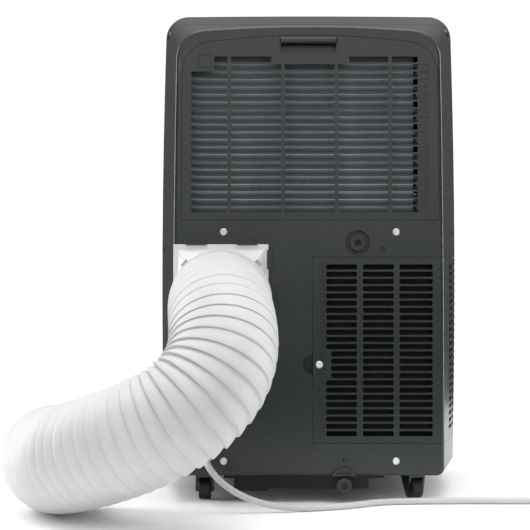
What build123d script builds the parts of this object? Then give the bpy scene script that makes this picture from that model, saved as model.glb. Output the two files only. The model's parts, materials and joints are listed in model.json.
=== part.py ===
from build123d import *

import math
import os

# Portable air conditioner, in millimetres. X runs across the cabinet, -Y is the rear side where
# the exhaust hose leaves, +Y is the front with the air outlet, and Z is up from the floor.

# ---- driving dimensions -------------------------------------------------------------------
REAR_Y = -156.0  # outer face of the rear cover
WIDEST_Y = 4.0  # where the cabinet reaches its full width and height
FRONT_Y = 194.0
HEIGHT = 710.0
SHELL_BOTTOM = 38.0
WALL = 3.0
GAP = 0.5  # seam between cover, doors and shell
SIDE_SEAM_Y = -75.0
REAR_COVER_TOP = 672.0
TOP_SEAM_Z = 690.0
FRONT_ROUND = 20.0
REAR_ROUND = 6.0

REAR_HALF_BOTTOM = 190.0
REAR_HALF_TOP = 184.5
REAR_TOP = 660.0
REAR_ARCH = 669.5
REAR_CORNER = 42.0
MAIN_HALF_BOTTOM = 218.0
MAIN_HALF_MIDDLE = 221.0
MAIN_HALF_TOP = 213.8
MAIN_TOP = 708.5
MAIN_CORNER = 34.0
REAR_LOWER_CORNER, MAIN_LOWER_CORNER = 12.0, 7.0
MIDDLE_Z = 300.0

GRILLE_LEFT, GRILLE_RIGHT, GRILLE_BOTTOM = -178.5, 183.0, 397.0
GRILLE_SIDE_TOP, GRILLE_ARCH, GRILLE_CORNER = 641.0, 655.6, 44.0
GRILLE_ROWS, GRILLE_PITCH, GRILLE_SLOT, GRILLE_FIRST_Z = 21, 10.5, 8.0, 408.0
GRILLE_COLUMNS = [(-164.0, -113.5), (-108.5, -38.2), (-33.2, 36.8), (41.8, 111.7), (116.7, 153.0)]
BLIND_SQUARES_X, BLIND_DEPTH = (155.0, 168.0), 1.4

DOOR_LEFT, DOOR_BOTTOM, DOOR_TOP, DOOR_SEAM_Y = 6.2, 84.5, 345.0, 60.0
DOOR_ROWS, DOOR_PITCH, DOOR_SLOT, DOOR_FIRST_Z = 24, 10.15, 7.2, 97.8
DOOR_COLUMNS = [(24.9, 67.9), (76.2, 119.6), (127.5, 174.0)]
SIDE_COLUMNS = [(-77.0, -35.0), (-27.0, 9.0), (17.0, 50.0)]
DOOR_SCREW = (15.3, 194.4)

DUCT_X, DUCT_Z = -120.7, 284.6
DUCT_BORE, COLLAR_R = 66.0, 69.3
PLATE = (-189.0, -56.0, 205.0, 363.0)
PLATE_THICK = 2.4
COLLAR_END_Y = -194.0
HOSE_R, HOSE_BORE = 70.0, 66.0
HOSE_ROUTE = [
    (-120.7, -194.0, 284.6),
    (-120.7, -236.0, 284.6),
    (-112.0, -296.0, 262.0),
    (-107.0, -341.0, 223.0),
    (-122.0, -369.0, 183.0),
    (-160.0, -383.0, 147.0),
    (-216.0, -375.0, 118.0),
    (-273.0, -342.0, 96.0),
    (-332.0, -284.0, 76.0),
    (-345.0, -220.0, 72.5),
]
CUFF_LENGTH, CUFF_R = 30.0, 70.3

UPPER_DRAIN, LOWER_DRAIN = (68.9, 365.0), (50.0, 25.8)
DRAIN_RECESS_R = 17.4
REAR_SCREWS = [(-118.9, 380.4), (122.9, 380.4), (-118.9, 59.2), (122.9, 59.2)]
SMALL_SCREWS = [(103.6, 356.4), (50.8, 61.1)]
SIDE_SCREWS = [(-1, 672.0), (-1, 354.0), (1, 676.0), (1, 377.0)]
SIDE_SCREW_Y = -24.0

CASTER_X, CASTER_REAR_Y, CASTER_FRONT_Y = 148.0, -106.0, 140.0
WHEEL_R, WHEEL_W, CASTER_TRAIL = 15.0, 16.5, 7.0
CASTERS = {
    "rear_left": (-CASTER_X, CASTER_REAR_Y, 0.0),
    "rear_right": (CASTER_X, CASTER_REAR_Y, 24.0),
    "front_left": (-CASTER_X, CASTER_FRONT_Y, -28.0),
    "front_right": (CASTER_X, CASTER_FRONT_Y, 18.0),
}

CORD_R = 4.5
GLAND = (-142.0, 70.0)
CORD_ROUTE = [
    (-142.0, -184.0, 70.0),
    (-141.0, -204.0, 67.0),
    (-133.0, -221.0, 56.0),
    (-117.0, -232.0, 40.0),
    (-92.0, -236.0, 24.0),
    (-58.0, -233.0, 11.0),
    (-16.0, -225.0, 4.8),
    (30.0, -213.0, 4.7),
    (66.0, -195.0, 4.7),
    (90.0, -176.0, 4.7),
    (117.0, -166.0, 4.7),
    (160.0, -162.0, 4.7),
    (216.0, -160.5, 4.7),
    (276.0, -160.6, 4.7),
    (330.0, -160.9, 4.7),
    (374.0, -161.4, 4.7),
]
COIL_CENTRE, COIL_MIDDLE_R, COIL_HALF, COIL_BASE = (395.0, -107.0), 49.5, 9.0, 1.2

BUTTONS = {"power": -75.0, "mode": -45.0, "fan_speed": 45.0, "timer": 75.0}
VANES = {"left": -72.0, "middle": 0.0, "right": 72.0}
OUTLET = (-140.0, 140.0, 598.0, 664.0)

os.makedirs("parts", exist_ok=True)


# ---- small helpers ------------------------------------------------------------------------
def block(x0, x1, y0, y1, z0, z1):
    return Pos((x0 + x1) / 2, (y0 + y1) / 2, (z0 + z1) / 2) * Box(x1 - x0, y1 - y0, z1 - z0)


def rod_y(x, z, radius, y0, y1):
    return Pos(x, (y0 + y1) / 2, z) * Rot(90, 0, 0) * Cylinder(radius, y1 - y0)


def rod_z(x, y, radius, z0, z1):
    return Pos(x, y, (z0 + z1) / 2) * Cylinder(radius, z1 - z0)


def cone_y(x, z, r_front, r_rear, y_rear, y_front):
    """A cone along Y, of radius r_rear at its rear (-Y) end."""
    length = y_front - y_rear
    return Pos(x, (y_rear + y_front) / 2, z) * Rot(90, 0, 0) * Cone(r_front, r_rear, length)


def upright(sketch, y0, y1):
    """Stands an X-Z sketch up and gives it the thickness from y0 to y1."""
    plane = Plane((0, y1, 0), x_dir=(1, 0, 0), z_dir=(0, -1, 0))
    return extrude(plane * sketch, amount=y1 - y0)


def cell(x0, x1, z0, z1, radius=0.0):
    shape = RectangleRounded(x1 - x0, z1 - z0, radius) if radius else Rectangle(x1 - x0, z1 - z0)
    return Pos((x0 + x1) / 2, (z0 + z1) / 2) * shape


def joined(shapes):
    shapes = list(shapes)
    return shapes[0].fuse(*shapes[1:]) if len(shapes) > 1 else shapes[0]


def cut_all(body, tools):
    return body.cut(*tools)


def solids_of(shapes):
    found = []
    for shape in shapes:
        found.extend(shape.solids())
    return Compound(children=found) if len(found) > 1 else found[0]


def save(name, shape):
    solids = shape.solids()
    out = solids[0] if len(solids) == 1 else Compound(children=list(solids))
    out.label = name
    export_step(out, os.path.join("parts", name + ".step"))


def corner_radii(route):
    """The largest tangent arc that each corner's two runs allow."""
    points = [Vector(*p) for p in route]
    radii = []
    for before, at, after in zip(points, points[1:], points[2:]):
        turn = math.radians((at - before).get_angle(after - at))
        shorter = min((at - before).length, (after - at).length)
        radii.append(0.45 * shorter / math.tan(turn / 2))
    return radii


def tube_along(name, route, radius, bore=0.0):
    radii = corner_radii(route)
    path = FilletPolyline(*[Vector(*p) for p in route], radius=radii)
    start = path % 0
    section = Circle(radius)
    if bore:
        section = section - Circle(bore)
    tube = sweep(Plane(origin=path @ 0, z_dir=start) * section, path=path)
    area = math.pi * (radius**2 - bore**2)
    print(name, "length", round(path.length, 1), "radii", [round(r) for r in radii])
    print(name, "volume ratio", round(tube.volume / (area * path.length), 4))
    return tube


# ---- cabinet skin -------------------------------------------------------------------------
def outline(half_bottom, half_middle, half_top, top, arch, corner, bottom, lower_corner):
    """Rear-view outline of the cabinet as a face in the X-Z plane."""
    edges = [
        Line((-half_bottom, bottom), (half_bottom, bottom)),
        ThreePointArc((half_bottom, bottom), (half_middle, MIDDLE_Z), (half_top, top)),
        ThreePointArc((half_top, top), (0, arch), (-half_top, top)),
        ThreePointArc((-half_top, top), (-half_middle, MIDDLE_Z), (-half_bottom, bottom)),
    ]
    face = make_face(edges)
    upper = [v for v in face.vertices() if v.Y > MIDDLE_Z]
    face = fillet(upper, corner)
    lower = [v for v in face.vertices() if abs(v.Y - bottom) < 0.01]
    return fillet(lower, lower_corner)


def rear_outline(inset):
    return outline(
        REAR_HALF_BOTTOM - inset,
        REAR_HALF_BOTTOM - inset - 0.5,
        REAR_HALF_TOP - inset,
        REAR_TOP - inset,
        REAR_ARCH - inset,
        REAR_CORNER - inset,
        SHELL_BOTTOM + inset,
        REAR_LOWER_CORNER - inset,
    )


def main_outline(inset):
    return outline(
        MAIN_HALF_BOTTOM - inset,
        MAIN_HALF_MIDDLE - inset,
        MAIN_HALF_TOP - inset,
        MAIN_TOP - inset,
        HEIGHT - inset,
        MAIN_CORNER - inset,
        SHELL_BOTTOM + inset,
        MAIN_LOWER_CORNER - inset,
    )


def at_depth(face, y):
    return Plane((0, y, 0), x_dir=(1, 0, 0), z_dir=(0, -1, 0)) * face


def cabinet_solid(inset):
    rear = at_depth(rear_outline(inset), REAR_Y + inset)
    main = main_outline(inset)
    tapered = loft([rear, at_depth(main, WIDEST_Y)], ruled=True)
    rear_face = tapered.faces().sort_by(Axis.Y)[0]
    tapered = fillet(rear_face.edges(), REAR_ROUND - inset)
    straight = upright(main, WIDEST_Y, FRONT_Y - inset)
    front_face = straight.faces().sort_by(Axis.Y)[-1]
    straight = fillet(front_face.edges(), FRONT_ROUND - inset)
    return tapered, straight


outer_rear, outer_front = cabinet_solid(0.0)
inner_rear, inner_front = cabinet_solid(WALL)
skin_rear = outer_rear - inner_rear
skin_front = outer_front - inner_front

FAR = 400.0
rear_profile = Polyline(
    (-FAR, 0),
    (SIDE_SEAM_Y, 0),
    (SIDE_SEAM_Y, 598),
    (REAR_Y + 7, REAR_COVER_TOP),
    (-FAR, REAR_COVER_TOP),
    (-FAR, 0),
)
top_profile = Polyline(
    (REAR_Y + 6, REAR_COVER_TOP),
    (SIDE_SCREW_Y - 10, TOP_SEAM_Z),
    (FAR, TOP_SEAM_Z),
    (FAR, HEIGHT + 50),
    (-FAR, HEIGHT + 50),
    (-FAR, REAR_COVER_TOP),
    (REAR_Y + 6, REAR_COVER_TOP),
)
top_zone = extrude(Plane.YZ.offset(-FAR) * make_face(top_profile), amount=2 * FAR)
rear_zone = extrude(Plane.YZ.offset(-FAR) * make_face(rear_profile), amount=2 * FAR)
bottom_opening = block(-182, 182, REAR_Y + WALL, FRONT_Y - 25, 0, SHELL_BOTTOM + WALL + 0.2)
door_zone = block(DOOR_LEFT, FAR, -FAR, DOOR_SEAM_Y, DOOR_BOTTOM, DOOR_TOP)
door_hole = block(DOOR_LEFT - GAP, FAR, -FAR, DOOR_SEAM_Y + GAP, DOOR_BOTTOM - GAP, DOOR_TOP + GAP)


def grille_outline(grow):
    left, right = GRILLE_LEFT - grow, GRILLE_RIGHT + grow
    bottom, top = GRILLE_BOTTOM - grow, GRILLE_SIDE_TOP + grow
    edges = [
        Line((left, bottom), (right, bottom)),
        Line((right, bottom), (right - 3, top)),
        ThreePointArc((right - 3, top), ((left + right) / 2, GRILLE_ARCH + grow), (left + 2, top)),
        Line((left + 2, top), (left, bottom)),
    ]
    face = make_face(edges)
    face = fillet([v for v in face.vertices() if v.Y > MIDDLE_Z + 200], GRILLE_CORNER + grow)
    return fillet([v for v in face.vertices() if abs(v.Y - bottom) < 0.01], 4.0)


# ---- rear cover ---------------------------------------------------------------------------
rear_inner_y = REAR_Y + WALL


def screw_ring(x, z):
    """A shallow groove around a screw head."""
    depth_y = REAR_Y + 1.0
    ring = rod_y(x, z, SCREW_RING_R, REAR_Y - 1, depth_y)
    return ring - rod_y(x, z, SCREW_HEAD_R, REAR_Y - 2, depth_y + 1)


rear_cover = (skin_rear & rear_zone) - bottom_opening - door_hole
rear_cover = rear_cover - upright(grille_outline(GAP), REAR_Y - 5, rear_inner_y + 1)
SCREW_HEAD_R, SCREW_RING_R = 5.3, 7.0
rear_cover = cut_all(
    rear_cover,
    [screw_ring(x, z) for x, z in REAR_SCREWS]
    + [rod_y(DUCT_X, DUCT_Z, DUCT_BORE, REAR_Y - 5, rear_inner_y + 5)]
    + [rod_y(x, z, 2.2, REAR_Y - 5, rear_inner_y + 5) for x, z in REAR_SCREWS]
    + [rod_y(x, z, 1.6, REAR_Y - 5, rear_inner_y + 5) for x, z in SMALL_SCREWS]
    + [
        rod_y(*UPPER_DRAIN, DRAIN_RECESS_R, REAR_Y - 5, rear_inner_y + 5),
        rod_y(*GLAND, 8.0, REAR_Y - 5, rear_inner_y + 5),
        rod_y(DOOR_LEFT, DOOR_SCREW[1], 14.0, REAR_Y - 5, rear_inner_y + 5),
    ],
)
drain_cup = rod_y(*UPPER_DRAIN, DRAIN_RECESS_R + 2, rear_inner_y - 0.5, rear_inner_y + 8)
drain_cup = drain_cup - rod_y(*UPPER_DRAIN, DRAIN_RECESS_R, rear_inner_y - 2, rear_inner_y + 6)
drain_cup = drain_cup - rod_y(*UPPER_DRAIN, 9.0, rear_inner_y, rear_inner_y + 9)
notch_cup = rod_y(DOOR_LEFT, DOOR_SCREW[1], 16.0, rear_inner_y - 0.5, rear_inner_y + 9)
notch_cup = notch_cup - rod_y(DOOR_LEFT, DOOR_SCREW[1], 14.0, rear_inner_y - 2, rear_inner_y + 7)
notch_cup = notch_cup & block(-FAR, DOOR_LEFT - GAP, -FAR, FAR, 0, HEIGHT)
hood = rod_y(LOWER_DRAIN[0], 33.5, 17.5, REAR_Y - 6, REAR_Y + 1)
hood = hood - rod_y(LOWER_DRAIN[0], 33.5, 15.0, REAR_Y - 8, REAR_Y + 0.5)
hood = hood & block(-FAR, FAR, -FAR, FAR, SHELL_BOTTOM, HEIGHT)


def hose_tab(x0, x1, z0, z1, lip):
    """An L-shaped tab: a stem beside the hose plate, and a lip over the plate's edge."""
    lx0, lx1, lz0, lz1 = lip
    stem = block(x0, x1, REAR_Y - 5.0, REAR_Y + 0.5, z0, z1)
    return stem + block(lx0, lx1, REAR_Y - 5.0, REAR_Y - PLATE_THICK - 0.6, lz0, lz1)


plate_left, plate_right, plate_bottom, plate_top = PLATE
tab_top = plate_top + 3.2
tabs = [
    hose_tab(x, x + 29, plate_top + 0.4, tab_top, (x, x + 29, plate_top - 1.2, tab_top))
    for x in (-171.2, -100.4)
]
side_lip = (plate_right - 2, plate_right + 5, 328, 355)
tabs.append(hose_tab(plate_right + 0.4, plate_right + 5, 328, 355, side_lip))
rail_z0, rail_z1 = plate_bottom - 4, plate_bottom - 0.4
rail = hose_tab(-180, -70, rail_z0, rail_z1, (-180, -70, rail_z0, plate_bottom + 3))
rear_cover = joined([rear_cover, drain_cup, notch_cup, hood, rail] + tabs)
save("rear_cover", rear_cover)

# ---- top cover, front shell and base pan ----------------------------------------------------
deck_cut = block(-125, 125, 40, 130, HEIGHT - 2.6, HEIGHT + 5)
deck_window = block(-115, 115, 48, 122, HEIGHT - 10, HEIGHT + 5)
skin_rest = joined([skin_rear - rear_zone, skin_front])
top_cover = (skin_rest & top_zone) - deck_cut - deck_window
save("top_cover", top_cover)


def flank_x(z):
    """Outer half-width of the cabinet at the height and depth of a side screw."""
    probe = block(0, FAR, SIDE_SCREW_Y - 0.1, SIDE_SCREW_Y + 0.1, z - 0.1, z + 0.1)
    return (outer_rear & probe).bounding_box().max.X


side_pockets = [
    Pos(side * flank_x(z), SIDE_SCREW_Y, z) * Rot(0, 90, 0) * Cylinder(8, 9) for side, z in SIDE_SCREWS
]
outlet_left, outlet_right, outlet_bottom, outlet_top = OUTLET
flap_hole = block(outlet_left - 4, outlet_right + 4, 150, FRONT_Y + 5, outlet_bottom - 4, outlet_top + 6)
front_skin = skin_rest - (Pos(0, 0, -0.3) * top_zone) - bottom_opening - door_hole
front_skin = front_skin - flap_hole
grips = []
for side in (-1, 1):
    x0, x1 = sorted((side * 196.0, side * 225.0))
    grips.append(block(x0, x1, 60, 150, 560, 590))
front_shell = cut_all(front_skin, grips + side_pockets)
grip_cups = []
pocket_cups = []
for side in (-1, 1):
    x0, x1 = sorted((side * 190.0, side * 215.0))
    cup = block(x0, x1, 57, 153, 557, 593)
    x2, x3 = sorted((side * 192.5, side * 230.0))
    grip_cups.append(cup - block(x2, x3, 60, 150, 560, 590))
for side, z in SIDE_SCREWS:
    at = flank_x(z)
    cup = Pos(side * (at - 5.6), SIDE_SCREW_Y, z) * Rot(0, 90, 0) * Cylinder(10, 7)
    pocket = Pos(side * (at - 3.5), SIDE_SCREW_Y, z) * Rot(0, 90, 0) * Cylinder(8, 8)
    bore = Pos(side * (at - 8), SIDE_SCREW_Y, z) * Rot(0, 90, 0) * Cylinder(2.2, 12)
    pocket_cups.append(cup - pocket - bore)
front_shell = joined([front_shell] + grip_cups + pocket_cups)
save("front_shell", front_shell)

WELL = (-104.6, 84.5, -149.0, -20.0)
WELL_BOTTOM, FOOT_BOTTOM, PAN_THICK = 19.7, 16.6, 2.0
base = block(-165, 165, -149, 165, 41.5, 44.0)
well_x0, well_x1, well_y0, well_y1 = WELL
base = base - block(well_x0 + 2, well_x1 - 2, well_y0 + 2, well_y1 - 2, 30, 60)
well = block(well_x0, well_x1, well_y0, well_y1, WELL_BOTTOM, 43)
flange = block(-119, 107, well_y0, -128, 34.5, 42)
hollow_x = (well_x0 + PAN_THICK, well_x1 - PAN_THICK)
hollow_y = (well_y0 + PAN_THICK, well_y1 - PAN_THICK)
well = (well + flange) - block(*hollow_x, *hollow_y, WELL_BOTTOM + PAN_THICK, 60)
foot = block(well_x0, -57, well_y0, -90, FOOT_BOTTOM, WELL_BOTTOM + 0.5)
rim = block(-165, 165, -149, 165, 43, 56) - block(-162.5, 162.5, -146.5, 162.5, 40, 60)
base_pan = joined([base, well, foot, rim])
caster_spots = [(x, y) for x, y, _ in CASTERS.values()]
base_pan = cut_all(
    base_pan,
    [rod_z(x, y, 9.0, 30, 70) for x, y in caster_spots]
    + [rod_y(*LOWER_DRAIN, 5.2, -160, -140)],
)
save("base_pan", base_pan)

# ---- upper filter grille --------------------------------------------------------------------
slots = []
for row in range(GRILLE_ROWS):
    z0 = GRILLE_FIRST_Z + GRILLE_PITCH * row
    z1 = z0 + GRILLE_SLOT
    top_row = row == GRILLE_ROWS - 1
    for index, (x0, x1) in enumerate(GRILLE_COLUMNS):
        if top_row and index == 2:
            continue
        if index == 0 and row >= GRILLE_ROWS - 2:
            x0 = -132.0
        if top_row and index == 1:
            x1 = -52.0
        if top_row and index == 3:
            x0 = 57.0
        slots.append(cell(x0, x1, z0, z1))
grille_face = grille_outline(0) - slots
HANDLE_HALF, HANDLE_Z0, HANDLE_Z1 = 39.0, 630.5, 645.0
grille_face = grille_face - cell(-HANDLE_HALF, HANDLE_HALF, HANDLE_Z0, HANDLE_Z1, 3.5)
grille = upright(grille_face, REAR_Y, rear_inner_y)
squares = []
for row in range(GRILLE_ROWS - 1):
    z0 = GRILLE_FIRST_Z + GRILLE_PITCH * row
    squares.append(block(*BLIND_SQUARES_X, REAR_Y - 1, REAR_Y + BLIND_DEPTH, z0, z0 + GRILLE_SLOT))
grille = cut_all(grille, squares)
handle_cup = block(
    -HANDLE_HALF - 1.5, HANDLE_HALF + 1.5, rear_inner_y - 0.5, rear_inner_y + 14, HANDLE_Z0 - 2, 647
)
handle_cup = handle_cup - block(
    -HANDLE_HALF, HANDLE_HALF, rear_inner_y - 2, rear_inner_y + 12, HANDLE_Z0, HANDLE_Z1
)
handle_lip = block(-HANDLE_HALF - 1, HANDLE_HALF + 1, REAR_Y - 5, REAR_Y + 0.5, HANDLE_Z1 - 0.5, 652.5)
handle_lip = fillet(handle_lip.edges().group_by(Axis.Y)[0], 2.4)
BOSS_BOTTOM, BOSS_TOP = 611.5, 627.0


def boss_outline(grow):
    """The small trapezoid in the grille's upper corner, wider at its foot."""
    bottom, top = BOSS_BOTTOM - grow / 2, BOSS_TOP + grow
    foot = (-153.6 - grow, bottom), (-136.3 + grow, bottom)
    head = (-138.7 + grow, top), (-151.5 - grow, top)
    return make_face(Polyline(*foot, *head, close=True))


grille = grille - upright(boss_outline(1.5), REAR_Y - 1, REAR_Y + BLIND_DEPTH)
boss = upright(boss_outline(0), REAR_Y - 1.2, REAR_Y + BLIND_DEPTH + 0.4)
save("upper_grille_panel", joined([grille, handle_cup, handle_lip, boss]))

MESH_X, MESH_Z, MESH_ROWS = (-168.0, 160.0), (403.0, 628.2), 7
mesh_y = (rear_inner_y, rear_inner_y + 2.4)
mesh_face = cell(*MESH_X, *MESH_Z, 5)
holes = []
for x0, x1 in GRILLE_COLUMNS:
    for row in range(0, GRILLE_ROWS, MESH_ROWS):
        z0 = GRILLE_FIRST_Z + GRILLE_PITCH * row
        holes.append(cell(x0 - 1.5, x1 + 1.5, z0 - 0.5, z0 + GRILLE_PITCH * MESH_ROWS - 2.7))
save("upper_filter_mesh", upright(mesh_face - holes, *mesh_y))

# ---- lower filter door ----------------------------------------------------------------------
door = joined([skin_rear, skin_front]) & door_zone
door_slots = []
for row in range(DOOR_ROWS):
    z0 = DOOR_FIRST_Z - 3.6 + DOOR_PITCH * row
    for index, (x0, x1) in enumerate(DOOR_COLUMNS):
        if index == 0 and 8 <= row <= 11:
            x0 = 31.8
        door_slots.append(upright(cell(x0, x1, z0, z0 + DOOR_SLOT, 2.0), REAR_Y - 5, rear_inner_y + 2))
    for y0, y1 in SIDE_COLUMNS:
        door_slots.append(block(188, 230, y0, y1, z0 + 0.4, z0 + 6.4))
    door_slots.append(block(16.4, 23.2, REAR_Y - 1, REAR_Y + BLIND_DEPTH, z0, z0 + DOOR_SLOT))
door_slots.append(rod_y(*DOOR_SCREW, 2.4, REAR_Y - 5, rear_inner_y + 3))
door = cut_all(door, door_slots)
save("lower_filter_door", door)
DOOR_MESH_ROWS = 6
door_mesh_face = cell(20, 178, 92, 340, 4)
door_holes = []
for x0, x1 in DOOR_COLUMNS:
    for row in range(0, DOOR_ROWS, DOOR_MESH_ROWS):
        z0 = DOOR_FIRST_Z - 3.6 + DOOR_PITCH * row
        door_holes.append(cell(x0 - 1.5, x1 + 1.5, z0 - 0.4, z0 + DOOR_PITCH * DOOR_MESH_ROWS - 2.6))
save("lower_filter_mesh", upright(door_mesh_face - door_holes, rear_inner_y, rear_inner_y + 2.4))


# ---- fasteners ------------------------------------------------------------------------------
def rear_screw(x, z, head_r, shank_r, depth, head_y=REAR_Y):
    """A pan-head screw driven towards +Y, with a cross recess."""
    head = cone_y(x, z, head_r, head_r * 0.72, head_y - 2.2, head_y)
    shank = rod_y(x, z, shank_r, head_y, head_y + depth)
    arm, slot = head_r * 0.42, head_r * 0.13
    cross = block(x - slot, x + slot, head_y - 3, head_y - 0.6, z - arm, z + arm)
    cross = cross + block(x - arm, x + arm, head_y - 3, head_y - 0.6, z - slot, z + slot)
    cross = cross + rod_y(x, z, head_r * 0.24, head_y - 3, head_y - 0.3)
    return (head + shank) - cross


def side_screw(side, z):
    at = side * (flank_x(z) - 7.5)
    turn = Rot(0, 90 * side, 0)
    head = Pos(at, SIDE_SCREW_Y, z) * turn * Pos(0, 0, 1.1) * Cone(4.2, 3.2, 2.2)
    shank = Pos(at, SIDE_SCREW_Y, z) * turn * Pos(0, 0, -5) * Cylinder(2.0, 10)
    return head + shank


screws = [rear_screw(x, z, SCREW_HEAD_R, 2.0, 10) for x, z in REAR_SCREWS]
screws += [side_screw(side, z) for side, z in SIDE_SCREWS]
save("cover_screws", solids_of(screws))
save("small_screws", solids_of([rear_screw(x, z, 3.2, 1.4, 8) for x, z in SMALL_SCREWS]))
save("door_screw", rear_screw(*DOOR_SCREW, SCREW_HEAD_R, 2.0, 5))

# ---- exhaust: inner duct, adaptor, hose and end cuff --------------------------------------------
duct = block(-178, -9, -151, -25, 216, 354) - block(-176, -7, -149, -27, 218, 352)
duct = duct - rod_y(DUCT_X, DUCT_Z, DUCT_BORE, -160, -140)
duct_ring = rod_y(DUCT_X, DUCT_Z, DUCT_BORE + 1.8, rear_inner_y, -149)
duct_ring = duct_ring & block(-184.5, FAR, -FAR, FAR, 0, HEIGHT)
duct = duct + (duct_ring - rod_y(DUCT_X, DUCT_Z, DUCT_BORE, -160, -140))
save("exhaust_duct", duct)

plate_y0, plate_y1 = REAR_Y - 0.3 - PLATE_THICK, REAR_Y - 0.3
plate = block(plate_left, plate_right, plate_y0, plate_y1, plate_bottom, plate_top)
plate_cx, plate_cz = (plate_left + plate_right) / 2, (plate_bottom + plate_top) / 2
taper_rear_y = -174.0
rim_plane = Plane((plate_cx, plate_y0 + 0.2, plate_cz), x_dir=(1, 0, 0), z_dir=(0, -1, 0))
neck_plane = Plane((DUCT_X, taper_rear_y, DUCT_Z), x_dir=(1, 0, 0), z_dir=(0, -1, 0))
taper = loft([rim_plane * Rectangle(122, 142), neck_plane * Circle(COLLAR_R)])
collar = rod_y(DUCT_X, DUCT_Z, COLLAR_R, COLLAR_END_Y, taper_rear_y + 0.2)
bead = rod_y(DUCT_X, DUCT_Z, COLLAR_R + 1.4, -190, -187)
latch_windows = [
    Pos(DUCT_X, taper_rear_y + 4, DUCT_Z) * Rot(0, angle, 0) * Pos(COLLAR_R + 3.6, 0, 0) * Box(5, 10, 11)
    for angle in (-45, -135)
]
adaptor = joined([plate, taper, collar, bead])
adaptor = adaptor - rod_y(DUCT_X, DUCT_Z, DUCT_BORE, COLLAR_END_Y - 5, REAR_Y + 5)
adaptor = cut_all(adaptor, latch_windows)
save("hose_adaptor", adaptor)

hose = tube_along("exhaust_hose", HOSE_ROUTE, HOSE_R, HOSE_BORE)
save("exhaust_hose", hose)
end, before = Vector(*HOSE_ROUTE[-1]), Vector(*HOSE_ROUTE[-2])
cuff_plane = Plane(origin=end, z_dir=(end - before).normalized())
cuff = extrude(cuff_plane * (Circle(CUFF_R) - Circle(HOSE_BORE + 1)), amount=CUFF_LENGTH)
save("hose_end_cuff", cuff)

# ---- drain spouts and caps ------------------------------------------------------------------------
upper_spout = rod_y(*UPPER_DRAIN, 8.6, rear_inner_y + 2, -139.5) - rod_y(*UPPER_DRAIN, 6.0, -160, -130)
lower_spout = rod_y(*LOWER_DRAIN, 5.0, REAR_Y, -147.2) - rod_y(*LOWER_DRAIN, 3.4, -160, -140)
save("drain_spouts", solids_of([upper_spout, lower_spout]))


def drain_cap(x, z, head_r, sides, y_front, depth, plug_r, plug_end, bore_r):
    head = upright(Pos(x, z) * RegularPolygon(head_r, sides), y_front - depth, y_front)
    head = head & rod_y(x, z, head_r * 0.97, -FAR, FAR)
    plug = rod_y(x, z, plug_r, y_front - 0.5, plug_end)
    return (head + plug) - rod_y(x, z, bore_r, y_front - depth - 1, y_front - depth + 6)


save("upper_drain_cap", drain_cap(*UPPER_DRAIN, 11.8, 8, rear_inner_y + 1.5, 6.5, 5.6, -144, 4.8))
save("lower_drain_cap", drain_cap(*LOWER_DRAIN, 11.4, 8, REAR_Y - 0.6, 9.0, 3.2, -149, 4.2))


# ---- casters ----------------------------------------------------------------------------------------
def caster(x, y, yaw):
    """Swivel fork and wheel of one caster, turned about its stem."""
    place = Pos(x, y, 0) * Rot(0, 0, yaw)
    wheel = Pos(0, -CASTER_TRAIL, WHEEL_R) * Rot(0, 90, 0) * Cylinder(WHEEL_R, WHEEL_W)
    wheel = fillet(wheel.edges().filter_by(GeomType.CIRCLE), 2.0)
    wheel = wheel - Pos(0, -CASTER_TRAIL, WHEEL_R) * Rot(0, 90, 0) * Cylinder(2.05, 30)
    cheek_in, cheek_out = WHEEL_W / 2 + 0.8, WHEEL_W / 2 + 4.3
    fork = block(-cheek_out, cheek_out, -17, 10, 31.2, 34.5)
    low_rear, low_front = (-CASTER_TRAIL - 5, 11), (-CASTER_TRAIL + 5, 11)
    side_view = make_face(Polyline(low_rear, low_front, (10, 31.5), (-17, 31.5), low_rear))
    for side in (-1, 1):
        x0, x1 = sorted((side * cheek_in, side * cheek_out))
        cheek = extrude(Plane.YZ.offset(x0) * side_view, amount=x1 - x0)
        fork = fork + cheek
    fork = fork + Pos(0, -CASTER_TRAIL, WHEEL_R) * Rot(0, 90, 0) * Cylinder(2.0, 2 * cheek_out + 2)
    fork = fork + rod_z(0, 0, 4.0, 34, 52)
    return place * fork, place * wheel


sockets = []
for spot, (cx, cy, yaw) in CASTERS.items():
    fork, wheel = caster(cx, cy, yaw)
    save("caster_fork_" + spot, fork)
    save("caster_wheel_" + spot, wheel)
    socket = rod_z(cx, cy, 8.8, 35.2, 54) + rod_z(cx, cy, 13, 44, 47)
    sockets.append(socket - rod_z(cx, cy, 4.05, 30, 52.5))
save("caster_sockets", solids_of(sockets))

# ---- controls and air outlet --------------------------------------------------------------------------
deck = block(-124.5, 124.5, 40.5, 129.5, HEIGHT - 2.6, HEIGHT - 0.8)
deck = deck + block(-114, 114, 49, 121, HEIGHT - 6, HEIGHT - 2)
button_y = 66.0
deck = cut_all(
    deck,
    [rod_z(x, button_y, 8.5, HEIGHT - 10, HEIGHT + 5) for x in BUTTONS.values()]
    + [block(-26, 26, 78, 108, HEIGHT - 3, HEIGHT + 5)],
)
save("control_panel", deck)
save("display_lens", block(-25.7, 25.7, 78.3, 107.7, HEIGHT - 3, HEIGHT - 0.9))
for label, x in BUTTONS.items():
    button = rod_z(x, button_y, 8.0, HEIGHT - 9, HEIGHT)
    button = fillet(button.edges().sort_by(Axis.Z)[-1], 1.2)
    save("button_" + label, button)

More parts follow.
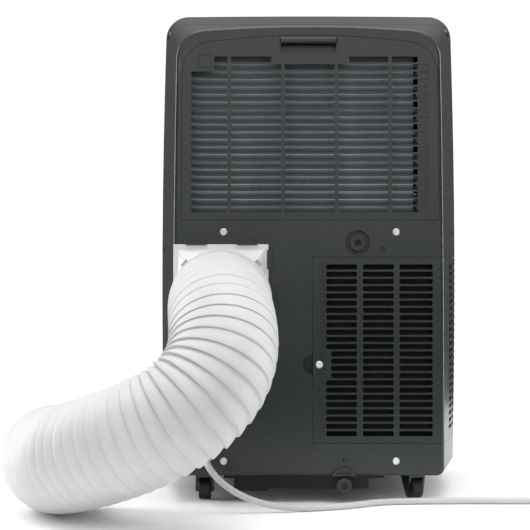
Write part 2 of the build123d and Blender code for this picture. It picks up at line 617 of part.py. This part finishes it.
duct_y0, duct_y1 = -92.0, 182.0
air_duct = block(outlet_left - 3, outlet_right + 3, duct_y0, duct_y1, outlet_bottom - 3, outlet_top + 3)
air_duct = air_duct - block(outlet_left, outlet_right, duct_y0 + 3, duct_y1 + 5, outlet_bottom, outlet_top)
air_duct = air_duct - block(-88, 88, -90, -10, outlet_bottom - 5, outlet_bottom + 2)
vane_y = 158.0
PIVOT_R = 1.5
pivot_holes = [rod_z(x, vane_y, PIVOT_R + 0.1, outlet_bottom - 5, outlet_top + 5) for x in VANES.values()]
save("air_outlet_duct", cut_all(air_duct, pivot_holes))
for label, x in VANES.items():
    vane = block(x - 0.8, x + 0.8, vane_y - 16, vane_y + 16, outlet_bottom + 1, outlet_top - 1)
    vane = vane + rod_z(x, vane_y, PIVOT_R, outlet_bottom - 2.5, outlet_top + 2.5)
    save("outlet_vane_" + label, vane)
flap_x = (outlet_left - 3.4, outlet_right + 3.4)
flap = block(*flap_x, FRONT_Y - 4, FRONT_Y - 0.5, outlet_bottom - 3.4, outlet_top + 3)
flap = fillet(flap.edges().filter_by(Axis.X), 1.2)
save("outlet_flap", flap)

# ---- upper compartment: tray, evaporator, blower -------------------------------------------------------
tray = block(-176, 156, -140, 150, 384, 398) - block(-174, 154, -138, 148, 386.5, 400)
tray = tray - rod_y(*UPPER_DRAIN, 6, -142, -120)
save("drain_tray", tray)
coil_block = block(-170, 146.5, -136.5, -100, 400, 640)
plates = [block(x, x + 1.5, -136.5, -98, 387, 645) for x in (-171.5, 146.5)]
bends = []
for i in range(7):
    z = 418 + 32 * i
    bend = Pos(148, -118, z) * Rot(90, 0, 0) * Torus(8, 3.2)
    bends.append(bend & block(148, 160, -FAR, FAR, 0, HEIGHT))
save("evaporator_coil", joined([coil_block] + plates + bends))

UPPER_FAN, LOWER_FAN = (0.0, 494.0), (85.0, 215.0)


def scroll(fan, x0, x1, z0, z1, y0, y1, bore_r, inlet_r, outlet_box):
    """A blower housing: a round chamber, an inlet towards the coil and one outlet."""
    body = block(x0, x1, y0, y1, z0, z1) - rod_y(*fan, bore_r, y0 + 3, y1 - 3)
    return cut_all(body, [rod_y(*fan, inlet_r, y0 - 5, y0 + 5), rod_y(*fan, 7, y1 - 5, y1 + 5), outlet_box])


def blower(fan, radius, y0, y1):
    """A drum of forward blades on a disc, with a hub that runs on the motor shaft."""
    fx, fz = fan
    disc = upright(Pos(fx, fz) * (Circle(radius) - Circle(4.05)), y1 - 3, y1)
    hub = upright(Pos(fx, fz) * (Circle(11) - Circle(4.05)), y1 - 22, y1 - 2.5)
    ring = upright(Pos(fx, fz) * (Circle(radius) - Circle(radius - 13)), y0, y0 + 3)
    profile = Pos(radius - 7, 0) * Rot(0, 0, 25) * Rectangle(11, 1.6)
    blades = []
    for i in range(28):
        blade = Pos(fx, fz) * Rot(0, 0, i * 360 / 28) * profile
        blades.append(upright(blade, y0 + 2.5, y1 - 2.5))
    return joined([disc, hub, ring] + blades)


def fan_motor(fan, radius, y0, y1, shaft_y):
    body = rod_y(*fan, radius, y0, y1)
    body = fillet(body.edges().filter_by(GeomType.CIRCLE), 4)
    flange = rod_y(*fan, radius + 9, y0, y0 + 2.5)
    return joined([body, flange, rod_y(*fan, 4.0, shaft_y, y0 + 1)])


upper_outlet = block(-84, 84, -92, -11, UPPER_FAN[1], 600)
save("upper_fan_scroll", scroll(UPPER_FAN, -98, 98, 399, 594.5, -95, -8, 88, 66, upper_outlet))
save("upper_blower_wheel", blower(UPPER_FAN, 82, -90, -16))
save("upper_fan_motor", fan_motor(UPPER_FAN, 40, -7.8, 55, -36))
lower_outlet = block(-20, 85, -92, -27, 219, 300)
save("lower_fan_scroll", scroll(LOWER_FAN, -8.8, 174, 120, 312, -95, -24, 86, 64, lower_outlet))
save("lower_blower_wheel", blower(LOWER_FAN, 80, -90, -32))
save("lower_fan_motor", fan_motor(LOWER_FAN, 38, -23.8, 36, -52))

# ---- lower compartment ----------------------------------------------------------------------------------
condenser = block(20, 172, -140, -100, 88, 343)
save("condenser_coil", joined([condenser] + [block(x, x + 1.5, -142, -98, 57, 345) for x in (18.5, 172)]))
compressor_x = -100.0
compressor = rod_z(compressor_x, 70, 58, 66, 262)
compressor = fillet(compressor.edges().filter_by(GeomType.CIRCLE), 22)
feet = rod_z(compressor_x, 70, 66, 60.5, 63.5)
compressor = joined([compressor, feet, rod_z(compressor_x, 70, 40, 62, 70)])
grommets = []
for i in range(3):
    angle = math.radians(90 + 120 * i)
    gx, gy = compressor_x + 57 * math.cos(angle), 70 + 57 * math.sin(angle)
    grommets.append(rod_z(gx, gy, 9, 44, 60.5))
save("compressor", compressor)
save("compressor_grommets", solids_of(grommets))
accumulator = rod_z(-8, 70, 20, 90, 220)
accumulator = fillet(accumulator.edges().filter_by(GeomType.CIRCLE), 12)
bracket = block(-50, -6, 66, 74, 140, 150) - rod_z(compressor_x, 70, 58.2, 100, 200)
save("accumulator", joined([accumulator, bracket]))
PIPE_R, PIPE_BEND, LAST_BEND = 4.0, 14.0, 10.0
pipe_routes = [
    [(-85, 70, 262), (-85, 70, 366), (150, 70, 366), (150, -120, 366), (150, -120, 343)],
    [
        (-8, 70, 220),
        (-8, 70, 346),
        (163, 70, 346),
        (163, -60, 346),
        (163, -60, 434),
        (163, -118, 434),
        (148, -118, 434),
    ],
]
pipes = []
for route in pipe_routes:
    bends = [PIPE_BEND] * (len(route) - 3) + [LAST_BEND]
    path = FilletPolyline(*[Vector(*p) for p in route], radius=bends)
    pipes.append(sweep(Plane(origin=path @ 0, z_dir=path % 0) * Circle(PIPE_R), path=path))
save("refrigerant_pipes", solids_of(pipes))
box = block(40, 168, 92, 160, 100, 300) - block(42, 166, 94, 162, 102, 298)
save("control_box", box)
relay, heat_sink = block(60, 90, 97, 116, 120, 160), block(100, 140, 97, 110, 200, 250)
board = block(52, 156, 96, 97.6, 112, 288) + relay + heat_sink
save("main_board", board + rod_y(120, 150, 16, 97, 140))
SPLASH = (-31.0, 76.0)
splash_motor = joined([
    block(-46, -16, -66, -30, 56, 96),
    rod_y(*SPLASH, 3.0, -86, -60),
    block(-46, -16, -60, -34, 44, 57),
])
save("splash_motor", splash_motor)
wheel_centre = Pos(SPLASH[0], -81, SPLASH[1])
notches = [wheel_centre * Rot(0, 60 * i, 0) * Pos(21, 0, 0) * Box(7, 10, 6) for i in range(6)]
splash = cut_all(rod_y(*SPLASH, 26, -84, -78), [rod_y(*SPLASH, 3.05, -90, -70)] + notches)
save("splash_wheel", splash)

# ---- power cord, coil, tie and plug ---------------------------------------------------------
gland = rod_y(*GLAND, 11, REAR_Y - 4, REAR_Y) + rod_y(*GLAND, 7.7, REAR_Y - 0.5, rear_inner_y + 4)
gland = gland + cone_y(*GLAND, 8.0, 5.6, CORD_ROUTE[0][1], REAR_Y - 4)
save("cord_gland", gland)
save("power_cord", tube_along("power_cord", CORD_ROUTE, CORD_R))
coil_x, coil_y = COIL_CENTRE
coil_r0, coil_r1 = COIL_MIDDLE_R - COIL_HALF, COIL_MIDDLE_R + COIL_HALF
coil = rod_z(coil_x, coil_y, coil_r1, COIL_BASE, COIL_BASE + 2 * COIL_HALF)
coil = coil - rod_z(coil_x, coil_y, coil_r0, 0, 40)
save("cord_coil", fillet(coil.edges().filter_by(GeomType.CIRCLE), 4.0))
tie_x = coil_x - COIL_MIDDLE_R
tie_top = COIL_BASE + 2 * COIL_HALF + 0.8
tie = block(tie_x - 10.2, tie_x + 10.2, coil_y - 4, coil_y + 4, 0.3, tie_top)
tie = tie - block(tie_x - 9.3, tie_x + 9.3, coil_y - 5, coil_y + 5, COIL_BASE - 0.1, tie_top - 0.8)
save("cord_tie", tie)
plug_x, plug_y = coil_x + COIL_MIDDLE_R + 4.5, coil_y + 24
relief = cone_y(plug_x, 9.5, 7.5, 4.8, plug_y, plug_y + 28)
plug = fillet(block(plug_x - 13, plug_x + 13, plug_y + 27, plug_y + 62, 0.5, 20.5).edges(), 3.0)
pins = [
    block(plug_x + dx - 0.8, plug_x + dx + 0.8, plug_y + 61, plug_y + 80, 7, 13.5)
    for dx in (-6.35, 6.35)
]
pins.append(rod_y(plug_x, 16.0, 2.4, plug_y + 61, plug_y + 82))
save("mains_plug", joined([relief, plug] + pins))
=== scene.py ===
import json
import math

import bpy
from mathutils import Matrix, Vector


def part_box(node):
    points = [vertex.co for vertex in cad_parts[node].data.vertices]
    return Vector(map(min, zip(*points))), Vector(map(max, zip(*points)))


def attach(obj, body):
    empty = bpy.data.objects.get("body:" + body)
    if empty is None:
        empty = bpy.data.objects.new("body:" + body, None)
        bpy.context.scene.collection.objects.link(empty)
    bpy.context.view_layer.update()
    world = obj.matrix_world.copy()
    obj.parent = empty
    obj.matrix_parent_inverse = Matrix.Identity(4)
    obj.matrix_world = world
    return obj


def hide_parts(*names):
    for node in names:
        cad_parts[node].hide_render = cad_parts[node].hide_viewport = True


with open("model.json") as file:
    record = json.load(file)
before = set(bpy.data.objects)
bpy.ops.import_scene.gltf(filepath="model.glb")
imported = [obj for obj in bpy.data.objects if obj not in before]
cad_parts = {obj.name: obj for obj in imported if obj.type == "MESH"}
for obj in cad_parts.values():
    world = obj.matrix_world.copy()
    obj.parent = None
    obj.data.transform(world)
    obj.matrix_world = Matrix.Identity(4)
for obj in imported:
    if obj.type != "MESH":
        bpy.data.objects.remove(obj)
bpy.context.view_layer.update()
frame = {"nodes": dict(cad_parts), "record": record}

nodes = frame["nodes"]
MM = 0.001

# ---- camera ---------------------------------------------------------------------------------
CAMERA_DISTANCE = 2.0
CAMERA_HEIGHT = 0.334
REAR_Y = -0.156
camera_data = bpy.data.cameras.new("camera")
camera_data.lens = 97.0
camera_data.sensor_width = 36.0
camera_data.shift_x = -0.082
camera_data.clip_end = 50.0
camera = bpy.data.objects.new("camera", camera_data)
camera.location = (0.0, REAR_Y - CAMERA_DISTANCE, CAMERA_HEIGHT)
camera.rotation_euler = (math.radians(90), 0, 0)
bpy.context.scene.collection.objects.link(camera)
bpy.context.scene.camera = camera


# ---- small helpers --------------------------------------------------------------------------
def link(obj):
    bpy.context.scene.collection.objects.link(obj)
    return obj


def mesh_object(name, verts, faces, smooth=True):
    mesh = bpy.data.meshes.new(name)
    mesh.from_pydata(verts, [], faces)
    mesh.update()
    if smooth:
        mesh.polygons.foreach_set("use_smooth", [True] * len(mesh.polygons))
    return link(bpy.data.objects.new(name, mesh))


def nurbs(name, points, radius=0.0, resolution=10):
    """A curve whose control points are the route's points."""
    curve = bpy.data.curves.new(name, "CURVE")
    curve.dimensions = "3D"
    spline = curve.splines.new("NURBS")
    spline.points.add(len(points) - 1)
    for point, place in zip(spline.points, points):
        point.co = (*place, 1.0)
    spline.order_u = 3
    spline.use_endpoint_u = True
    spline.resolution_u = resolution
    curve.bevel_depth = radius
    curve.bevel_resolution = 6
    curve.use_fill_caps = True
    return link(bpy.data.objects.new(name, curve))


def line_of(curve_object):
    """Points along a curve that has no bevel, in order."""
    mesh = bpy.data.meshes.new_from_object(curve_object)
    points = [v.co.copy() for v in mesh.vertices]
    bpy.data.meshes.remove(mesh)
    return points


def resample(points, count):
    """The same line as count evenly spaced points, and its length."""
    lengths = [0.0]
    for a, b in zip(points, points[1:]):
        lengths.append(lengths[-1] + (b - a).length)
    total = lengths[-1]
    out = []
    index = 0
    for i in range(count):
        goal = total * i / (count - 1)
        while index < len(points) - 2 and lengths[index + 1] < goal:
            index += 1
        span = lengths[index + 1] - lengths[index]
        out.append(points[index].lerp(points[index + 1], (goal - lengths[index]) / span))
    return out, total


# ---- materials ------------------------------------------------------------------------------
GRAIN_DEPTH = 0.00006
WAVE_DEPTH = 0.0004
# nearly all of a noise texture's values lie between these two
NOISE_LOW, NOISE_HIGH = 0.3, 0.7


def tree_of(name):
    material = bpy.data.materials.new(name)
    material.use_nodes = True
    tree = material.node_tree
    shader = tree.nodes["Principled BSDF"]
    return material, tree, shader


def node(tree, kind, **values):
    made = tree.nodes.new(kind)
    for key, value in values.items():
        if key in made.inputs.keys():
            made.inputs[key].default_value = value
        else:
            setattr(made, key, value)
    return made


def noise(tree, scale, detail=3.0, stretch=(1, 1, 1)):
    coords = node(tree, "ShaderNodeTexCoord")
    mapping = node(tree, "ShaderNodeMapping")
    mapping.inputs["Scale"].default_value = stretch
    texture = node(tree, "ShaderNodeTexNoise", Scale=scale, Detail=detail)
    tree.links.new(coords.outputs["Object"], mapping.inputs["Vector"])
    tree.links.new(mapping.outputs["Vector"], texture.inputs["Vector"])
    return texture.outputs["Fac"]


def ramp(tree, source, stops):
    made = node(tree, "ShaderNodeValToRGB")
    elements = made.color_ramp.elements
    while len(elements) < len(stops):
        elements.new(0.5)
    for element, (place, value) in zip(elements, stops):
        element.position = place
        element.color = value if len(value) == 4 else (*value, 1.0)
    tree.links.new(source, made.inputs["Fac"])
    return made.outputs["Color"]


def spread(tree, source, low, high):
    made = node(tree, "ShaderNodeMapRange")
    made.inputs["To Min"].default_value = low
    made.inputs["To Max"].default_value = high
    made.inputs["From Min"].default_value = NOISE_LOW
    made.inputs["From Max"].default_value = NOISE_HIGH
    tree.links.new(source, made.inputs["Value"])
    return made.outputs["Result"]


def bump(tree, shader, heights):
    """Adds one bump per (source, strength, distance), each on top of the last."""
    normal = None
    for source, strength, distance in heights:
        made = node(tree, "ShaderNodeBump", Strength=strength, Distance=distance)
        tree.links.new(source, made.inputs["Height"])
        if normal:
            tree.links.new(normal, made.inputs["Normal"])
        normal = made.outputs["Normal"]
    tree.links.new(normal, shader.inputs["Normal"])


def plastic(name, dark, light, rough=(0.4, 0.5), grain=1400.0, specular=0.5, coat=0.0):
    """Moulded plastic: faint cloudy colour, a fine spark-eroded grain and slow surface waviness."""
    material, tree, shader = tree_of(name)
    cloud = noise(tree, 9.0, 4.0)
    fine = noise(tree, grain, 2.0)
    wave = noise(tree, 14.0, 1.0)
    colour = ramp(tree, cloud, [(NOISE_LOW, dark), (NOISE_HIGH, light)])
    tree.links.new(colour, shader.inputs["Base Color"])
    tree.links.new(spread(tree, fine, *rough), shader.inputs["Roughness"])
    shader.inputs["Specular IOR Level"].default_value = specular
    shader.inputs["Coat Weight"].default_value = coat
    shader.inputs["Coat Roughness"].default_value = 0.15
    bump(tree, shader, [(fine, 0.35, GRAIN_DEPTH), (wave, 0.2, WAVE_DEPTH)])
    return material


def metal(name, dark, light, rough=(0.25, 0.4), metallic=1.0):
    """Bare or plated metal, with a fine even grain."""
    material, tree, shader = tree_of(name)
    cloud = noise(tree, 60.0, 3.0)
    fine = noise(tree, 600.0, 3.0)
    colour = ramp(tree, cloud, [(NOISE_LOW, dark), (NOISE_HIGH, light)])
    tree.links.new(colour, shader.inputs["Base Color"])
    tree.links.new(spread(tree, fine, *rough), shader.inputs["Roughness"])
    shader.inputs["Metallic"].default_value = metallic
    bump(tree, shader, [(fine, 0.3, 0.00003)])
    return material


def grey(value, tint=(1.0, 1.0, 1.0)):
    return tuple(value * t for t in tint)


GREEN_GREY = (0.80, 1.09, 0.91)
shell = plastic("shell_plastic", grey(0.019, GREEN_GREY), grey(0.023, GREEN_GREY), (0.24, 0.30),
                specular=0.48)
black = plastic("black_plastic", grey(0.005), grey(0.008), (0.4, 0.55), specular=0.25)
caster_black = plastic("caster_black", grey(0.006), grey(0.010), (0.22, 0.34), coat=0.2)
tread = plastic("caster_tread", grey(0.008), grey(0.013), (0.5, 0.65), grain=900.0)
grey_rubber = plastic("grey_rubber", grey(0.016), grey(0.024), (0.5, 0.62), grain=900.0)
white = plastic("white_plastic", (0.68, 0.69, 0.685), (0.72, 0.73, 0.725), (0.4, 0.5))
vinyl = plastic("cord_vinyl", (0.50, 0.51, 0.51), (0.54, 0.55, 0.55), (0.32, 0.42), grain=2200.0)
black_rubber = plastic("black_rubber", (0.016, 0.014, 0.013), (0.024, 0.021, 0.019), (0.4, 0.55))
panel_gloss = plastic("panel_gloss", grey(0.008), grey(0.012), (0.12, 0.2), coat=0.5)
zinc = metal("zinc_plate", grey(0.70), grey(0.88), (0.3, 0.45), metallic=0.45)
dark_screw = metal("black_screw", grey(0.05), grey(0.08), (0.35, 0.5))
steel = metal("galvanised_sheet", grey(0.42), grey(0.58), (0.35, 0.55))
copper = metal("drawn_copper", (0.62, 0.27, 0.15), (0.75, 0.36, 0.22), (0.25, 0.4))
enamel = plastic("black_enamel", grey(0.010), grey(0.014), (0.15, 0.25), coat=0.5)
board = plastic("circuit_board", (0.010, 0.07, 0.025), (0.015, 0.10, 0.035), (0.3, 0.45))
tie_rubber = plastic("tie_rubber", grey(0.012), grey(0.02), (0.5, 0.6))


def hose_film():
    """White pleated film: slightly translucent, with fine creases across the pleats."""
    material, tree, shader = tree_of("hose_film")
    cloud = noise(tree, 22.0, 4.0)
    crease = noise(tree, 160.0, 4.0, (1.0, 1.0, 2.5))
    dark, light = (0.545, 0.555, 0.55), (0.59, 0.60, 0.595)
    colour = ramp(tree, cloud, [(NOISE_LOW, dark), (NOISE_HIGH, light)])
    tree.links.new(colour, shader.inputs["Base Color"])
    tree.links.new(spread(tree, crease, 0.42, 0.6), shader.inputs["Roughness"])
    shader.inputs["Specular IOR Level"].default_value = 0.35
    shader.inputs["Subsurface Weight"].default_value = 0.06
    shader.inputs["Subsurface Radius"].default_value = (0.006, 0.006, 0.006)
    bump(tree, shader, [(crease, 0.12, 0.0003), (cloud, 0.15, 0.0008)])
    return material


# pitch of the rows of tubes, the height of one painted lit edge, and the pitch of the upright fins, in
# metres
FIN_ROW, FIN_PHASE = 0.010602, 0.4171
FIN_PITCH = 0.0018


def fins_with_painted_light(name, dark, mid, lit):
    """Coated fins: upright hairlines in the bump, and painted light in the colour: a painted highlight on
    the louvre edge over each row of tubes, with painted shade between the edges.
    """
    material, tree, shader = tree_of(name)
    coords = node(tree, "ShaderNodeTexCoord")
    split = node(tree, "ShaderNodeSeparateXYZ")
    tree.links.new(coords.outputs["Object"], split.inputs["Vector"])

    def maths(operation, source, value):
        made = node(tree, "ShaderNodeMath", operation=operation)
        tree.links.new(source, made.inputs[0])
        made.inputs[1].default_value = value
        return made.outputs[0]

    row = maths("FRACT", maths("DIVIDE", maths("SUBTRACT", split.outputs["Z"], FIN_PHASE), FIN_ROW), 0.0)
    hairline = maths("SINE", maths("MULTIPLY", split.outputs["X"], 2 * math.pi / FIN_PITCH), 0.0)
    # painted light: each row runs up from a painted highlight through a band of painted shade and a mid
    # grey to the next painted highlight
    painted_light_bands = ramp(tree, row, [(0.0, lit), (0.22, dark), (0.45, dark), (0.74, mid), (0.84, mid), (0.90, lit)])
    # slow random upright streaks, up to about a quarter darker
    slow = noise(tree, 14.0, 2.0, (1.0, 1.0, 0.12))
    tint = ramp(tree, slow, [(0.35, (0.72, 0.74, 0.76)), (0.65, (1.0, 1.0, 1.0))])
    mix = node(tree, "ShaderNodeMix", data_type="RGBA", blend_type="MULTIPLY")
    mix.inputs["Factor"].default_value = 1.0
    tree.links.new(painted_light_bands, mix.inputs[6])
    tree.links.new(tint, mix.inputs[7])
    tree.links.new(mix.outputs[2], shader.inputs["Base Color"])
    shader.inputs["Metallic"].default_value = 0.15
    shader.inputs["Roughness"].default_value = 0.5
    shader.inputs["Specular IOR Level"].default_value = 0.2
    bump(tree, shader, [(hairline, 0.5, 0.0004)])
    return material


film = hose_film()
# the coil's fins: bluish grey between their painted highlights and bands of painted shade
fins = fins_with_painted_light("fins_with_painted_light", (0.15, 0.17, 0.185), (0.31, 0.35, 0.40), (0.95, 0.98, 1.0))
# painted shade: the same fins painted almost black, for the condenser in the shade deep inside the cabinet
shaded_condenser_fins = fins_with_painted_light("shaded_condenser_fins", (0.004, 0.004, 0.005), (0.005, 0.005, 0.007), (0.007, 0.007, 0.010))

FINISH = {
    "dark_shell": shell, "black_plastic": black, "caster_black": caster_black, "caster_tread": tread,
    "grey_plug": grey_rubber, "white_plastic": white, "hose_white": film, "cord_grey": vinyl,
    "tie_black": tie_rubber, "zinc_screw": zinc, "dark_screw": dark_screw, "coil_fins": fins,
    "condenser_fins": shaded_condenser_fins, "black_rubber": black_rubber, "black_enamel": enamel,
    "rubber_mount": tie_rubber, "copper_pipe": copper, "galvanised": steel, "circuit_board": board,
    "panel_gloss": panel_gloss,
}
slot_of = {row["node"]: row["material_slot"] for row in frame["record"]["subparts"]}


def paint(obj, material):
    """Gives the object this one material."""
    obj.data.materials.clear()
    obj.data.materials.append(material)


for name, obj in nodes.items():
    paint(obj, FINISH[slot_of[name]])

# ---- exhaust hose ---------------------------------------------------------------------------
HOSE_ROUTE = [
    (-120.7, -194.0, 284.6),
    (-120.7, -236.0, 284.6),
    (-112.0, -296.0, 262.0),
    (-107.0, -341.0, 223.0),
    (-122.0, -369.0, 183.0),
    (-160.0, -383.0, 147.0),
    (-216.0, -375.0, 118.0),
    (-273.0, -342.0, 96.0),
    (-332.0, -284.0, 76.0),
    (-345.0, -220.0, 72.5),
]
PLEATS = 37
AROUND = 180
HOSE_RIDGE = 0.0708
COLLAR_DROP = 0.0034  # how much smaller the first ridge is, where the hose enters the collar
COLLAR_PLEATS = 9.0   # pleats over which the ridges reach full size
SHALLOW, DEEP = 0.0004, 0.0060  # depth of a closed pleat, and what a fully open one adds
OPENING_PLEATS = 16.0  # pleats over which they open up from the collar
CLOSING_PLEATS = 8.0   # pleats over which they close again towards the cuff
FILM_THICKNESS = 0.0008
STEPS_PER_PLEAT = 40
BEND_REACH = 24  # steps to each side over which the bend is read
# height of the film over one pleat, from the step at the near side to the ridge at the far side
PLEAT_PROFILE = [
    (0.00, 0.00), (0.10, 0.10), (0.24, 0.32), (0.40, 0.56), (0.56, 0.75), (0.70, 0.88),
    (0.80, 0.95), (0.855, 0.975), (0.87, 0.93), (0.885, 0.98), (0.94, 1.00), (0.97, 0.86), (0.99, 0.30),
]


def frames_along(points):
    """A pair of sideways directions at each point, carried along without twist."""
    tangents = []
    for i, point in enumerate(points):
        ahead = points[min(i + 1, len(points) - 1)]
        behind = points[max(i - 1, 0)]
        tangents.append((ahead - behind).normalized())
    side = Vector((1, 0, 0))
    axes = []
    for tangent in tangents:
        side = (side - tangent * side.dot(tangent)).normalized()
        axes.append((tangent, side, tangent.cross(side)))
    return axes


def pleated_hose():
    """Rings of film along the route, deeper where the pleats are open or crowd inside a bend."""
    guide = nurbs("hose_guide", [Vector(p) * MM for p in HOSE_ROUTE], resolution=24)
    steps = PLEATS * STEPS_PER_PLEAT + 1
    points, total = resample(line_of(guide), steps)
    bpy.data.objects.remove(guide)
    axes = frames_along(points)
    step = total / (steps - 1)
    verts = []
    rings = 0
    for pleat in range(PLEATS):
        for along, height in PLEAT_PROFILE:
            place = (pleat + along) / PLEATS
            index = place * (steps - 1)
            low = min(int(index), steps - 2)
            centre = points[low].lerp(points[low + 1], index - low)
            tangent, side, up = axes[low]
            a, b = max(low - BEND_REACH, 0), min(low + BEND_REACH, steps - 1)
            bend = (axes[b][0] - axes[a][0]) / ((b - a) * step)
            grow = min(1.0, (pleat + along) / OPENING_PLEATS) ** 2.8
            fade = min(1.0, max(0.15, (PLEATS - pleat - along - 1.5) / CLOSING_PLEATS))
            ridge = HOSE_RIDGE - COLLAR_DROP * (1.0 - min(1.0, (pleat + along) / COLLAR_PLEATS)) ** 1.5
            for k in range(AROUND):
                angle = 2 * math.pi * k / AROUND
                out = side * math.cos(angle) + up * math.sin(angle)
                squeeze = bend.dot(out) * HOSE_RIDGE
                crowd = 0.8 + 0.45 * max(-0.5, min(1.0, squeeze * 1.5))
                depth = SHALLOW + DEEP * grow * fade * crowd
                verts.append(centre + out * (ridge - depth * (1.0 - height)))
            rings += 1
    faces = []
    for ring in range(rings - 1):
        near, far = ring * AROUND, (ring + 1) * AROUND
        for k in range(AROUND):
            k2 = (k + 1) % AROUND
            faces.append((near + k, near + k2, far + k2, far + k))
    hose = mesh_object("pleated_hose", verts, faces)
    thick = hose.modifiers.new("wall", "SOLIDIFY")
    thick.thickness = FILM_THICKNESS
    thick.offset = -1.0
    paint(hose, film)
    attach(hose, "hose_assembly")
    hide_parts("exhaust_hose")


pleated_hose()

# ---- power cord -----------------------------------------------------------------------------
CORD_RADIUS = 0.0045
COIL_TURNS = 4.25
POINTS_PER_TURN = 16
INMOST_LANE = 0.0104  # how far the inmost turn lies inside the one before it
TAIL_LEAD, TAIL_RISE = 0.012, 0.0125  # where the end leaves the coil: past its middle, and its height
PLUG_DEPTH, PLUG_HEIGHT = 0.006, 0.0098  # how far the end reaches into the plug, and its height
CORD_ROUTE = [
    (-142.0, -184.0, 70.0),
    (-141.0, -204.0, 67.0),
    (-133.0, -221.0, 56.0),
    (-117.0, -232.0, 40.0),
    (-92.0, -236.0, 24.0),
    (-58.0, -233.0, 11.0),
    (-16.0, -225.0, 4.8),
    (30.0, -213.0, 4.7),
    (66.0, -195.0, 4.7),
    (90.0, -176.0, 4.7),
    (117.0, -166.0, 4.7),
    (160.0, -162.0, 4.7),
    (216.0, -160.5, 4.7),
    (276.0, -160.6, 4.7),
    (330.0, -160.9, 4.7),
    (374.0, -161.4, 4.9),
]
coil_low, coil_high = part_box("cord_coil")
plug_low, plug_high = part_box("mains_plug")


def cord_points():
    """The free run, then the turns of the put-away coil, and the end in the plug.

    Each turn has its own lane, a radius and a height, and moves over to it in its first fifth.
    """
    points = [Vector(p) * MM for p in CORD_ROUTE]
    centre = (coil_low + coil_high) / 2
    outer = (coil_high.x - coil_low.x) / 2 - CORD_RADIUS
    inner = outer - 2 * CORD_RADIUS
    low_z, high_z = coil_low.z + CORD_RADIUS, coil_high.z - CORD_RADIUS
    inmost = inner - INMOST_LANE
    lanes = [(outer, low_z), (inner, low_z), (inmost, low_z), (inner, high_z), (outer, high_z)]
    for i in range(1, int(COIL_TURNS * POINTS_PER_TURN) + 1):
        turn = i / POINTS_PER_TURN
        lane = min(int(turn), len(lanes) - 1)
        radius, z = lanes[lane]
        if lane:
            share = min(1.0, (turn - lane) * 5)
            last_radius, last_z = lanes[lane - 1]
            radius = last_radius + (radius - last_radius) * share
            z = last_z + (z - last_z) * share
        angle = 2 * math.pi * turn - math.pi / 2
        x, y = centre.x + radius * math.cos(angle), centre.y + radius * math.sin(angle)
        points.append(Vector((x, y, z)))
    tail_x = (plug_low.x + plug_high.x) / 2
    points.append(Vector((tail_x, centre.y + TAIL_LEAD, TAIL_RISE)))
    points.append(Vector((tail_x, plug_low.y + PLUG_DEPTH, PLUG_HEIGHT)))
    return points


cord_line = nurbs("power_lead", cord_points(), CORD_RADIUS, 8)
paint(cord_line, vinyl)
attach(cord_line, "cabinet")
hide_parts("power_cord", "cord_coil")

# ---- floor and light --------------------------------------------------------------------------
# radiance of the studio's walls and ceiling by the sine of the elevation
SKY = [(0.0, 0.09), (0.30, 0.13), (0.62, 0.62), (1.0, 1.5)]
SKY_STRENGTH = 2.0  # a colour ramp holds no more than 1, so it holds SKY over this
BACKDROP = 1.05
FLOOR_X, FLOOR_Y = (-1.5, 1.5), (-0.75, 1.2)


def studio():
    """A white paper floor, a white backdrop behind the object and dim walls under a pale ceiling."""
    (x0, x1), (y0, y1) = FLOOR_X, FLOOR_Y
    corners = [(x0, y0, 0), (x1, y0, 0), (x1, y1, 0), (x0, y1, 0)]
    floor = mesh_object("floor", corners, [(0, 1, 2, 3)], False)
    material, tree, shader = tree_of("floor_paper")
    cloud = noise(tree, 1.2, 2.0)
    colour = ramp(tree, cloud, [(NOISE_LOW, grey(0.94)), (NOISE_HIGH, grey(0.965))])
    tree.links.new(colour, shader.inputs["Base Color"])
    shader.inputs["Roughness"].default_value = 0.9
    shader.inputs["Specular IOR Level"].default_value = 0.1
    paint(floor, material)
    world = bpy.data.worlds.new("studio")
    world.use_nodes = True
    tree = world.node_tree
    walls = tree.nodes["Background"]
    coords = node(tree, "ShaderNodeTexCoord")
    split = node(tree, "ShaderNodeSeparateXYZ")
    tree.links.new(coords.outputs["Generated"], split.inputs["Vector"])
    sky = ramp(tree, split.outputs["Z"], [(at, grey(value / SKY_STRENGTH)) for at, value in SKY])
    tree.links.new(sky, walls.inputs["Color"])
    walls.inputs["Strength"].default_value = SKY_STRENGTH
    backdrop = node(tree, "ShaderNodeBackground", Strength=BACKDROP)
    backdrop.inputs["Color"].default_value = (1.0, 1.0, 1.0, 1.0)
    path = node(tree, "ShaderNodeLightPath")
    mix = node(tree, "ShaderNodeMixShader")
    tree.links.new(path.outputs["Is Camera Ray"], mix.inputs["Fac"])
    tree.links.new(walls.outputs["Background"], mix.inputs[1])
    tree.links.new(backdrop.outputs["Background"], mix.inputs[2])
    tree.links.new(mix.outputs["Shader"], tree.nodes["World Output"].inputs["Surface"])
    bpy.context.scene.world = world


def softbox(name, place, target, size, power):
    """A rectangular lamp aimed at the target, with its size in metres and its power in watts."""
    data = bpy.data.lights.new(name, "AREA")
    data.shape = "RECTANGLE"
    data.size, data.size_y = size
    data.energy = power
    lamp = link(bpy.data.objects.new(name, data))
    lamp.location = place
    lamp.rotation_euler = (Vector(target) - Vector(place)).to_track_quat("-Z", "Y").to_euler()


studio()
softbox("top_light", (0.0, -0.5, 2.3), (0, 0.1, 0.3), (2.2, 1.8), 28.0)
softbox("front_fill", (0.0, -3.7, 1.45), (0, -0.2, 0.45), (5.2, 2.3), 50.0)
for side in (-1, 1):
    softbox("side_strip", (1.3 * side, 0.15, 0.5), (0.2 * side, -0.15, 0.4), (0.34, 1.5), 14.0)
bpy.context.scene.view_settings.view_transform = "Standard"
